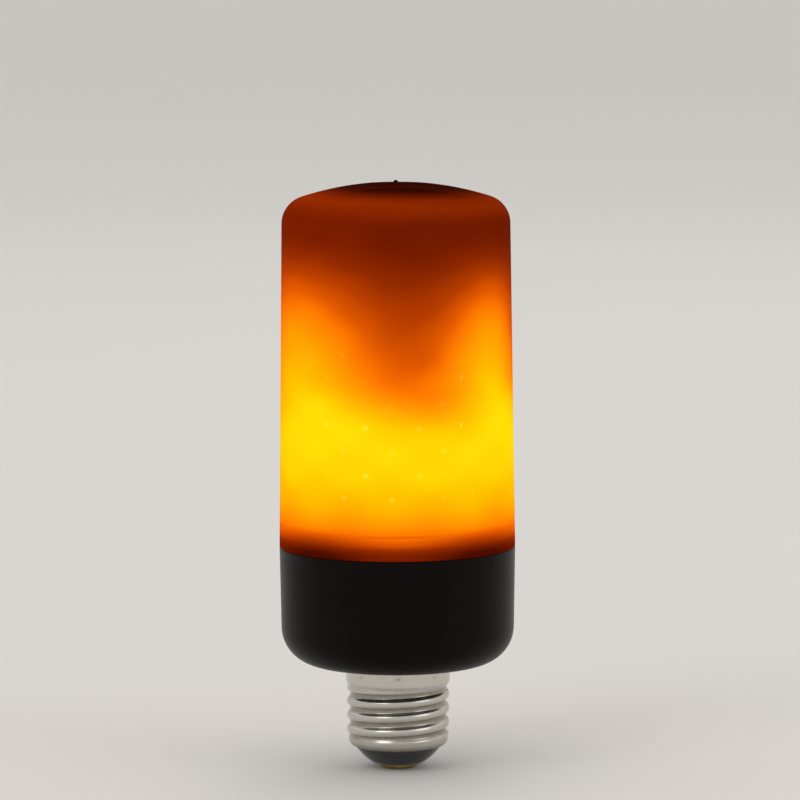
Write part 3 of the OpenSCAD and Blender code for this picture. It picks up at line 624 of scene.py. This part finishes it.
class BULB_OT_cover(bpy.types.Operator):
    """Frosted cover: drafted side, rounded edge, shallow dome with a dimple and gate mark, snap bead."""
    bl_idname = "bulb.cover"
    bl_label = "Frosted cover"

    def execute(self, context):
        """Draws the cover's section and spins it."""
        cover = context.scene.bulb_cover
        slope = math.tan(cover.draft)
        top_z = SEAM_Z + cover.height
        reach = cover.seam_r - cover.edge_r/math.cos(cover.draft)
        rise = cover.height - cover.dome_r
        middle = reach*slope + rise
        span = reach**2 + rise**2 - (cover.dome_r - cover.edge_r)**2
        edge_up = (middle + math.sqrt(middle**2 - (1 + slope**2)*span))/(1 + slope**2)
        edge = (reach - slope*edge_up, SEAM_Z + edge_up)
        dome = (0.0, top_z - cover.dome_r)
        join = math.atan2(edge[1] - dome[1], edge[0])
        dimple_floor = cover.dome_r - cover.dimple_depth
        inner_edge = cover.edge_r - cover.wall

        def side(up):
            return cover.seam_r - up*slope

        outside = [(cover.seam_r - cover.bevel, SEAM_Z), (side(cover.bevel), SEAM_Z + cover.bevel)]
        outside += arc(edge, cover.edge_r, cover.draft, join, 20)
        outside += arc(dome, cover.dome_r, join, math.acos(cover.dimple_r/cover.dome_r), 20)[1:]
        outside += arc(dome, dimple_floor, math.acos(0.93*cover.dimple_r/dimple_floor),
                       math.acos(cover.gate_r*1.15/dimple_floor), 10)
        outside += [(cover.gate_r, top_z + 0.2*cover.gate_h), (0.8*cover.gate_r, top_z + 0.7*cover.gate_h),
                    (0.5*cover.gate_r, top_z + cover.gate_h), (0.0, top_z + cover.gate_h)]
        inside = arc(dome, cover.dome_r - cover.wall, math.pi/2, join, 20)
        inside += arc(edge, inner_edge, join, cover.draft, 16)[1:]
        bead = cover.bead_up
        inside += [(side(bead + cover.bead_w) - cover.wall, SEAM_Z + bead + cover.bead_w),
                   (SPIGOT_R - cover.bead_grip, SEAM_Z + bead + 0.15*MM),
                   (SPIGOT_R - cover.bead_grip, SEAM_Z + bead - 0.15*MM),
                   (side(bead - cover.bead_w) - cover.wall, SEAM_Z + bead - cover.bead_w),
                   (cover.seam_r - cover.wall, SEAM_Z)]
        piece = spin_outline("frosted_cover", outside + inside)
        material = frosted_cover_material(context.scene.bulb_glow, context.scene.bulb_column, cover)
        finish_piece(piece, material, "frosted_cover", "diffuser")
        return {"FINISHED"}


def pick_faces(piece, test):
    """Opens a piece for editing with only those faces selected that pass a test."""
    bpy.ops.object.mode_set(mode="EDIT")
    bpy.ops.mesh.select_mode(type="FACE")
    bpy.ops.mesh.select_all(action="DESELECT")
    bpy.ops.object.mode_set(mode="OBJECT")
    for face in piece.data.polygons:
        face.select = test(face)
    bpy.ops.object.mode_set(mode="EDIT")


def screw_post(name, distance, low, high, sizes, bore_depth, rib=0.0):
    """A screw post with its bore inset and pushed down. A tall one has a rib to the wall and a foot
    that is drawn in, where the housing's lower edge is round."""
    chamfer = 0.2*MM
    foot_in, foot_down = 1.6*MM, 1.3*MM
    deselect_everything()
    bpy.ops.mesh.primitive_cylinder_add(vertices=40, radius=sizes.post_r, depth=high - low,
                                        location=(distance, 0, (high + low)/2))
    post = bpy.context.object
    post.name = name
    pick_faces(post, lambda face: face.normal.z > 0.9)
    bpy.ops.mesh.inset(thickness=sizes.post_r - sizes.bore_r - chamfer)
    bpy.ops.mesh.inset(thickness=chamfer, depth=-chamfer)
    bpy.ops.mesh.extrude_region_move(TRANSFORM_OT_translate={"value": (0, 0, -bore_depth)})
    bpy.ops.object.mode_set(mode="OBJECT")
    if rib:
        pick_faces(post, lambda face: face.normal.z < -0.9)
        bpy.ops.mesh.extrude_region_move(TRANSFORM_OT_translate={"value": (-foot_in, 0, -foot_down)})
        bpy.ops.transform.resize(value=(0.5, 0.5, 1), center_override=(distance - foot_in, 0, low))
        bpy.ops.object.mode_set(mode="OBJECT")
        # The rib starts inside the post and ends inside the wall, just short of both of the post's ends
        rib_in, rib_out = distance + 0.6*sizes.post_r, distance + sizes.post_r + rib
        rib_h = high - low - 0.1*MM
        bpy.ops.mesh.primitive_cube_add(size=1, location=((rib_in + rib_out)/2, 0, (high + low)/2),
                                        scale=(rib_out - rib_in, sizes.rib_t, rib_h))
        web = bpy.context.object
        bpy.ops.object.transform_apply(location=False, rotation=False, scale=True)
        bpy.ops.object.modifier_add(type="BEVEL")
        web.modifiers[-1].width = chamfer
        bpy.ops.object.modifier_apply(modifier=web.modifiers[-1].name)
        post.select_set(True)
        bpy.context.view_layer.objects.active = post
        bpy.ops.object.join()
    bpy.ops.object.transform_apply(location=True, rotation=True, scale=True)
    return post


def ring_of(piece, first_turn, count=3):
    """Sets a piece and copies of it, each with its own mesh, evenly round the axis."""
    ring = [piece]
    while len(ring) < count:
        deselect_everything()
        piece.select_set(True)
        bpy.context.view_layer.objects.active = piece
        bpy.ops.object.duplicate()
        ring.append(bpy.context.object)
    for step, copy in enumerate(ring):
        copy.data.transform(Matrix.Rotation(first_turn + step*math.tau/count, 4, "Z"))
    return ring


class BULB_OT_housing(bpy.types.Operator):
    """Dark housing: a drafted cup with a large lower radius, a spigot, a neck and its screw posts."""
    bl_idname = "bulb.housing"
    bl_label = "Dark housing"

    def execute(self, context):
        """Spins the cup with its neck, then adds the posts."""
        house, cover, cap = context.scene.bulb_housing, context.scene.bulb_cover, context.scene.bulb_cap
        seam_r = cover.seam_r
        edge_z = SHOULDER_Z + house.edge_r
        edge_in = seam_r - (house.edge_r + (SEAM_Z - edge_z)*math.sin(house.draft))/math.cos(house.draft)
        floor_z = SHOULDER_Z + house.floor_t
        spigot_in = SPIGOT_R - house.spigot_wall
        cavity_edge = house.edge_r - house.floor_t
        cavity_low = spigot_in - (FLANGE_Z - floor_z)*math.tan(house.cavity_draft)
        neck_r = cap.minor_r - cap.sheet - 2*GAP
        neck_in = neck_r - house.neck_wall
        neck_z = PLUG_TOP_Z + GAP
        collar_r = SKIRT_R - cap.sheet - GAP
        collar_z = SHOULDER_Z - cap.skirt_h + cap.sheet + 0.2*MM
        groove = cover.bead_w + GAP
        bead_z = SEAM_Z + cover.bead_up

        outline = [(neck_in, neck_z), (neck_r - 0.3*MM, neck_z), (neck_r, neck_z + 0.3*MM),
                   (neck_r, collar_z), (collar_r - 0.2*MM, collar_z), (collar_r, collar_z + 0.2*MM),
                   (collar_r, SHOULDER_Z)]
        outline += arc((edge_in, edge_z), house.edge_r, -math.pi/2, -house.draft, 28)
        outline += [(seam_r - cover.bevel*math.tan(house.draft), SEAM_Z - cover.bevel),
                    (seam_r - cover.bevel, SEAM_Z), (SPIGOT_R, SEAM_Z), (SPIGOT_R, bead_z - groove),
                    (SPIGOT_R - cover.bead_grip - GAP, bead_z), (SPIGOT_R, bead_z + groove),
                    (SPIGOT_R, FLANGE_Z - 0.2*MM), (SPIGOT_R - 0.2*MM, FLANGE_Z), (spigot_in, FLANGE_Z)]
        outline += arc((cavity_low - cavity_edge, floor_z + cavity_edge), cavity_edge, 0, -math.pi/2, 14)
        outline += [(neck_in, floor_z)]
        piece = spin_outline("dark_housing", outline)

        board_post_at = spigot_in - house.board_post_gap - house.post_r
        board_post = screw_post("board_post", board_post_at, floor_z - 0.5*MM, BOARD_Z, house,
                                house.board_bore)
        carrier_post_at = spigot_in - house.carrier_post_gap - house.post_r
        carrier_post = screw_post("carrier_post", carrier_post_at, floor_z + 0.8*MM, FLANGE_Z, house,
                                  house.carrier_bore, rib=0.6*MM)
        posts = ring_of(board_post, house.board_post_turn) + ring_of(carrier_post, house.carrier_post_turn)
        deselect_everything()
        for post in posts:
            post.select_set(True)
        piece.select_set(True)
        context.view_layer.objects.active = piece
        bpy.ops.object.join()
        finish_piece(piece, housing_material(), "dark_plastic", "housing")
        return {"FINISHED"}


def knuckle(turns, pitch, amplitude):
    """Radial wave of the rolled thread: one arc for the crest and an equal one for the root."""
    bend = ((pitch/4)**2 + amplitude**2)/(2*amplitude)
    share = turns % 1.0
    crest = share < 0.5
    along = (share - (0.25 if crest else 0.75))*pitch
    rise = math.sqrt(bend**2 - along**2) - bend + amplitude
    return rise if crest else -rise


class BULB_OT_screw_shell(bpy.types.Operator):
    """Screw shell: one rolled sheet with a knuckle thread, a curled lip, a flare and a crimped skirt."""
    bl_idname = "bulb.screw_shell"
    bl_label = "Screw shell"

    def execute(self, context):
        """Draws the tube up ring by ring, rolls the thread into it and gives it the sheet's thickness."""
        cap = context.scene.bulb_cap
        amplitude = (cap.major_r - cap.minor_r)/2
        wall_r = (cap.major_r + cap.minor_r)/2 - cap.sheet/2
        skirt_mid = SKIRT_R - cap.sheet/2
        skirt_z = SHOULDER_Z - cap.skirt_h
        thread_z = LIP_Z + cap.lip_r

        sides, thread_rings, skirt_rings = 216, 75, 20
        rings = arc((wall_r - cap.lip_r, thread_z), cap.lip_r, -math.pi/2, 0, 8)
        for i in range(1, thread_rings + 1):
            z = thread_z + (skirt_z - thread_z)*i/thread_rings
            rings.append((wall_r + (skirt_mid - wall_r)*blend((z - skirt_z)/cap.flare_h + 1), z))
        rings += [(skirt_mid, skirt_z + cap.skirt_h*i/skirt_rings) for i in range(1, skirt_rings + 1)]

        deselect_everything()
        bpy.ops.mesh.primitive_circle_add(vertices=sides, radius=rings[0][0], location=(0, 0, rings[0][1]))
        piece = context.object
        piece.name = "screw_cap_shell"
        bpy.ops.object.mode_set(mode="EDIT")
        bpy.ops.mesh.select_mode(type="EDGE")
        bpy.ops.mesh.select_all(action="SELECT")
        for (r, z), (next_r, next_z) in zip(rings, rings[1:]):
            bpy.ops.mesh.extrude_region_move(TRANSFORM_OT_translate={"value": (0, 0, next_z - z)})
            bpy.ops.transform.resize(value=(next_r/r, next_r/r, 1), center_override=(0, 0, next_z))
        clean_mesh()
        bpy.ops.object.mode_set(mode="OBJECT")
        bpy.ops.object.transform_apply(location=True, rotation=True, scale=True)

        # The thread's roll and the crimp dents move each point of the sheet in or out
        crimp_z = SHOULDER_Z - 0.42*cap.skirt_h
        step = math.tau/cap.crimps
        for vertex in piece.data.vertices:
            x, y, z = vertex.co
            r = math.hypot(x, y)
            turn = math.atan2(y, x)
            fade = blend((z - thread_z)/cap.pitch*2)*blend((skirt_z - cap.flare_h/2 - z)/cap.pitch*2)
            move = fade*knuckle(z/cap.pitch - turn/math.tau, cap.pitch, amplitude)
            if z > skirt_z:
                side = ((turn + step/2) % step - step/2)*r
                away = math.hypot(side, z - crimp_z)/cap.crimp_r
                move -= cap.crimp_depth*blend(1 - away)
            vertex.co.x *= (r + move)/r
            vertex.co.y *= (r + move)/r
        bpy.ops.object.modifier_add(type="SOLIDIFY")
        wall = piece.modifiers[-1]
        wall.thickness = cap.sheet
        wall.offset = 0
        bpy.ops.object.modifier_apply(modifier=wall.name)
        finish_piece(piece, nickel_material(cap), "nickel_shell", "screw_shell")
        return {"FINISHED"}


class BULB_OT_cap_end(bpy.types.Operator):
    """Cap's end: the black insulator's hollow cone and the riveted centre contact."""
    bl_idname = "bulb.cap_end"
    bl_label = "Insulator and centre contact"

    def execute(self, context):
        """Spins the insulator and the contact."""
        cap = context.scene.bulb_cap
        wall_r = (cap.major_r + cap.minor_r)/2 - cap.sheet/2
        cone_r = wall_r - cap.lip_r - GAP
        plug_r = wall_r - cap.lip_r + 0.3*MM
        plug_z = LIP_Z + cap.sheet/2 + GAP
        tip_r = CONTACT_R + 0.9*MM
        cone_z = LIP_Z - 0.5*MM
        hole_r = cap.rivet_r + 0.05*MM
        web_z = cap.contact_t + cap.web_t
        cup_r = plug_r - 2.6*MM

        outline = [(hole_r, cap.contact_t), (tip_r - 0.25*MM, cap.contact_t),
                   (tip_r, cap.contact_t + 0.05*MM)]
        cone_steps = 16
        for i in range(1, cone_steps + 1):
            share = i/cone_steps
            outline.append((tip_r + (cone_r - tip_r)*share,
                            cap.contact_t + (cone_z - cap.contact_t)*share**1.6))
        outline += [(cone_r, plug_z), (plug_r, plug_z), (plug_r, PLUG_TOP_Z - 0.3*MM),
                    (plug_r - 0.3*MM, PLUG_TOP_Z), (cup_r, PLUG_TOP_Z), (cup_r, web_z + 0.6*MM),
                    (cup_r - 0.6*MM, web_z), (hole_r, web_z)]
        insulator = spin_outline("cap_insulator_cone", outline, 144)
        # Thermoset, compression moulded: glossy black with a slight ripple every 2 mm
        resin = plain_finish("phenolic_moulded_glossy", "#0A0A0B", "#141416", 6*MM, 2*MM, 0.16, 0.01*MM,
                             IOR=1.6)
        finish_piece(insulator, resin, "black_insulator", "cap_insulator")

        edge = 0.75*cap.contact_t
        head_r = cap.rivet_r + 1.3*MM
        outline = [(0.0, 0.22*MM), (1.2*MM, 0.2*MM), (1.7*MM, 0.08*MM), (2.1*MM, 0.0)]
        outline += arc((CONTACT_R - edge, edge), edge, -math.pi/2, 0, 10)
        outline += [(CONTACT_R, cap.contact_t), (cap.rivet_r, cap.contact_t), (cap.rivet_r, web_z),
                    (head_r, web_z), (head_r, CONTACT_TOP_Z - 0.5*MM),
                    (head_r - 0.15*MM, CONTACT_TOP_Z - 0.15*MM), (head_r - 0.5*MM, CONTACT_TOP_Z),
                    (0.0, CONTACT_TOP_Z)]
        contact = spin_outline("centre_contact_rivet", outline, 96)
        # Brass, cold pressed: soft gold with a fine pressing grain of 0.2 mm
        brass = plain_finish("brass_cold_pressed", "#A98A4C", "#CDB273", 2*MM, 0.2*MM, 0.28, 0.01*MM,
                             Metallic=1.0)
        finish_piece(contact, brass, "contact_brass", "centre_contact")
        return {"FINISHED"}


class BULB_OT_led_column(bpy.types.Operator):
    """LED column: finishes of the carrier, its cap, the flexible board, its LEDs and their screws."""
    bl_idname = "bulb.led_column"
    bl_label = "LED column"

    def execute(self, context):
        """Dresses the column's nodes."""
        # Polycarbonate, injection moulded: matt white with a grain of 0.3 mm
        dress_node("led_carrier", plain_finish(
            "white_polycarbonate_moulded", "#DCD8CC", "#E9E6DC", 12*MM, 0.3*MM, 0.5, 0.02*MM, IOR=1.58))
        # Its cap in the same plastic, made black as painted shade: the column's end stays dark under the
        # dome
        dress_node("carrier_cap", plain_finish(
            "polycarbonate_cap_black_for_shade", "#0D0B0A", "#171413", 8*MM, 0.3*MM, 0.55, 0.02*MM, IOR=1.58))
        # Polyimide film over etched copper: amber, glossy, with traces felt 1.2 mm apart
        dress_node("flex_board", plain_finish(
            "polyimide_film_etched", "#9C6A1E", "#C18A30", 5*MM, 1.2*MM, 0.3, 0.03*MM,
            stretch=(0.2, 0.2, 1), IOR=1.7))
        dress_node("carrier_screws", zinc_plated_steel("zinc_plated_carrier_screw"))
        led = led_material(context.scene.bulb_glow, context.scene.bulb_column)
        for name in LED_ROWS:
            dress_node(name, led)
        return {"FINISHED"}


class BULB_OT_driver(bpy.types.Operator):
    """Driver: finishes of the board, its parts, its screws and the two wires."""
    bl_idname = "bulb.driver"
    bl_label = "Driver"

    def execute(self, context):
        """Dresses the driver's nodes."""
        # Glass-epoxy laminate under solder mask: green, its 0.6 mm weave felt through the mask
        dress_node("driver_board", plain_finish(
            "glass_epoxy_solder_mask", "#0E4526", "#176036", 9*MM, 0.6*MM, 0.3, 0.02*MM, IOR=1.52))
        dress_node("board_screws", zinc_plated_steel("zinc_plated_board_screw"))
        # Polyester sleeve shrunk on an aluminium can: dark blue, glossy, drawn along the can
        dress_node("electrolytic_capacitor", plain_finish(
            "polyester_sleeve_shrunk", "#151A2B", "#1D2338", 4*MM, 0.8*MM, 0.22, 0.02*MM,
            stretch=(1, 1, 0.1), IOR=1.57))
        # Filled polyester case, moulded: brick red, semi-gloss
        dress_node("film_capacitor", plain_finish(
            "polyester_case_moulded", "#7E1D14", "#96261B", 3*MM, 0.25*MM, 0.35, 0.01*MM, IOR=1.57))
        # Ferrite, pressed and sintered: dark grey and grainy
        dress_node("inductor", plain_finish(
            "ferrite_sintered", "#1E1E1F", "#2C2C2D", 2*MM, 0.2*MM, 0.65, 0.03*MM, IOR=1.8))
        for name, finish in (("bridge_rectifier", "epoxy_rectifier_body"),
                             ("driver_chip", "epoxy_driver_chip"),
                             ("flame_controller", "epoxy_flame_controller")):
            dress_node(name, package_material(finish, name))
        # Tin-plated steel can: pale, soft gleam, drawn along its length
        dress_node("tilt_switch", plain_finish(
            "tin_plated_can", "#A8A49C", "#C6C2BA", 2*MM, 0.15*MM, 0.3, 0.01*MM,
            stretch=(1, 0.1, 1), Metallic=1.0))
        # Silicone-cement coat, dipped: grey green, slightly lumpy every 1 mm
        dress_node("fuse_resistor", plain_finish(
            "cement_coat_dipped", "#45705F", "#5A8A78", 2*MM, 1*MM, 0.55, 0.05*MM, IOR=1.5))
        # Nylon, moulded: waxy off-white
        dress_node("board_connector", plain_finish(
            "nylon_moulded", "#D8D3C4", "#E6E2D6", 3*MM, 0.3*MM, 0.4, 0.01*MM, IOR=1.53))
        # Silicone rubber, extruded on the wires: red for live and blue for neutral
        dress_node("live_wire", plain_finish(
            "silicone_red_extruded", "#8E1811", "#A52018", 2*MM, 0.2*MM, 0.45, 0.01*MM, IOR=1.43))
        dress_node("neutral_wire", plain_finish(
            "silicone_blue_extruded", "#123A7A", "#1A4890", 2*MM, 0.2*MM, 0.45, 0.01*MM, IOR=1.43))
        return {"FINISHED"}


class BULB_OT_stage(bpy.types.Operator):
    """Stage: pale floor that sweeps up all round, soft lamps, even world light and the camera."""
    bl_idname = "bulb.stage"
    bl_label = "Stage and camera"

    def execute(self, context):
        """Sets the floor, lamps, world and camera."""
        look = context.scene.bulb_stage
        deselect_everything()
        bpy.ops.mesh.primitive_circle_add(vertices=96, radius=look.flat_r, fill_type="NGON")
        floor = context.object
        floor.name = "floor"
        bpy.ops.object.mode_set(mode="EDIT")
        bpy.ops.mesh.select_mode(type="EDGE")
        bpy.ops.mesh.select_all(action="SELECT")
        bpy.ops.mesh.region_to_loop()
        sweep = arc((look.flat_r, look.sweep_r), look.sweep_r, -math.pi/2, look.sweep_turn - math.pi/2, 40)
        for (r, z), (next_r, next_z) in zip(sweep, sweep[1:]):
            bpy.ops.mesh.extrude_edges_move(TRANSFORM_OT_translate={"value": (0, 0, next_z - z)})
            bpy.ops.transform.resize(value=(next_r/r, next_r/r, 1), center_override=(0, 0, next_z))
        bpy.ops.mesh.select_all(action="SELECT")
        bpy.ops.mesh.normals_make_consistent(inside=True)
        bpy.ops.object.mode_set(mode="OBJECT")
        for face in floor.data.polygons:
            face.use_smooth = True
        # Matt painted board, its tone drifting slightly over half a metre
        material, tree, shader, place = new_material(
            "painted_board_matt", Roughness=0.9, Specular_IOR_Level=0.1)
        cloud = add_node(tree, "TexNoise", inputs={"Vector": place, "Scale": 2.0, "Detail": 2.0})
        tone = add_node(tree, "MapRange", inputs={"Value": cloud, "To Min": 0.985, "To Max": 1.0})
        shade = add_node(tree, "VectorMath", {"operation": "SCALE"},
                         {0: tuple(look.floor)[:3], "Scale": tone})
        connect(tree, shader, {"Base Color": shade})
        floor.data.materials.append(material)

        # The lamps face the middle of the bulb
        middle = Vector((0, 0, 75*MM))
        for name, spot, width, power in SOFT_BOXES:
            toward = middle - Vector(spot)
            bpy.ops.object.light_add(type="AREA", location=spot,
                                     rotation=toward.to_track_quat("-Z", "Y").to_euler())
            lamp = context.object
            lamp.name = name
            lamp.data.shape = "SQUARE"
            lamp.data.size = width
            lamp.data.energy = power

        world = bpy.data.worlds.new("even_light")
        world.use_nodes = True
        world.node_tree.nodes.clear()
        sky = add_node(world.node_tree, "Background", inputs={
            "Color": hex_colour("#FFFFFF"), "Strength": look.world_strength})
        add_node(world.node_tree, "OutputWorld", inputs={"Surface": sky})
        context.scene.world = world

        turn = Matrix.Rotation(math.pi/2 - look.pitch, 3, "X") @ Matrix.Rotation(look.roll, 3, "Z")
        back = turn @ Vector((0, 0, look.distance))
        bpy.ops.object.camera_add(location=Vector((look.aim_x, 0, look.aim_z)) + back,
                                  rotation=turn.to_euler())
        camera = context.object
        camera.data.sensor_fit = "HORIZONTAL"
        camera.data.sensor_width = 36.0
        camera.data.lens = look.lens
        camera.data.clip_start = 0.01
        context.scene.camera = camera
        context.scene.view_settings.view_transform = "Standard"
        return {"FINISHED"}


class BULB_PT_pieces(bpy.types.Panel):
    """Lists the bulb's pieces and their sizes."""
    bl_idname = "BULB_PT_pieces"
    bl_label = "Flame effect bulb"
    bl_space_type = "VIEW_3D"
    bl_region_type = "UI"
    bl_category = "Bulb"

    def draw(self, context):
        """Draws one button for each piece, then the sizes and colours."""
        for operator in PIECES:
            self.layout.operator(operator.bl_idname)
        for name, _ in SETTINGS:
            group = getattr(context.scene, name)
            box = self.layout.box()
            for prop in group.bl_rna.properties:
                if prop.identifier not in ("rna_type", "name"):
                    box.prop(group, prop.identifier)


SETTINGS = (("bulb_cover", CoverSizes), ("bulb_housing", HousingSizes), ("bulb_cap", CapSizes),
            ("bulb_column", ColumnSizes), ("bulb_glow", GlowLook), ("bulb_stage", StageLook))
PIECES = (BULB_OT_stage, BULB_OT_cover, BULB_OT_housing, BULB_OT_screw_shell, BULB_OT_cap_end,
          BULB_OT_led_column, BULB_OT_driver)


def register():
    """Registers the settings, the operators and the panel."""
    for name, group in SETTINGS:
        bpy.utils.register_class(group)
        setattr(bpy.types.Scene, name, bpy.props.PointerProperty(type=group))
    for operator in PIECES:
        bpy.utils.register_class(operator)
    bpy.utils.register_class(BULB_PT_pieces)


def unregister():
    """Takes back what register did."""
    bpy.utils.unregister_class(BULB_PT_pieces)
    for operator in reversed(PIECES):
        bpy.utils.unregister_class(operator)
    for name, group in reversed(SETTINGS):
        delattr(bpy.types.Scene, name)
        bpy.utils.unregister_class(group)


def main():
    """Makes every piece and the stage."""
    register()
    bpy.ops.bulb.stage()
    bpy.ops.bulb.cover()
    bpy.ops.bulb.housing()
    bpy.ops.bulb.screw_shell()
    bpy.ops.bulb.cap_end()
    bpy.ops.bulb.led_column()
    bpy.ops.bulb.driver()


if __name__ == "__main__":
    main()
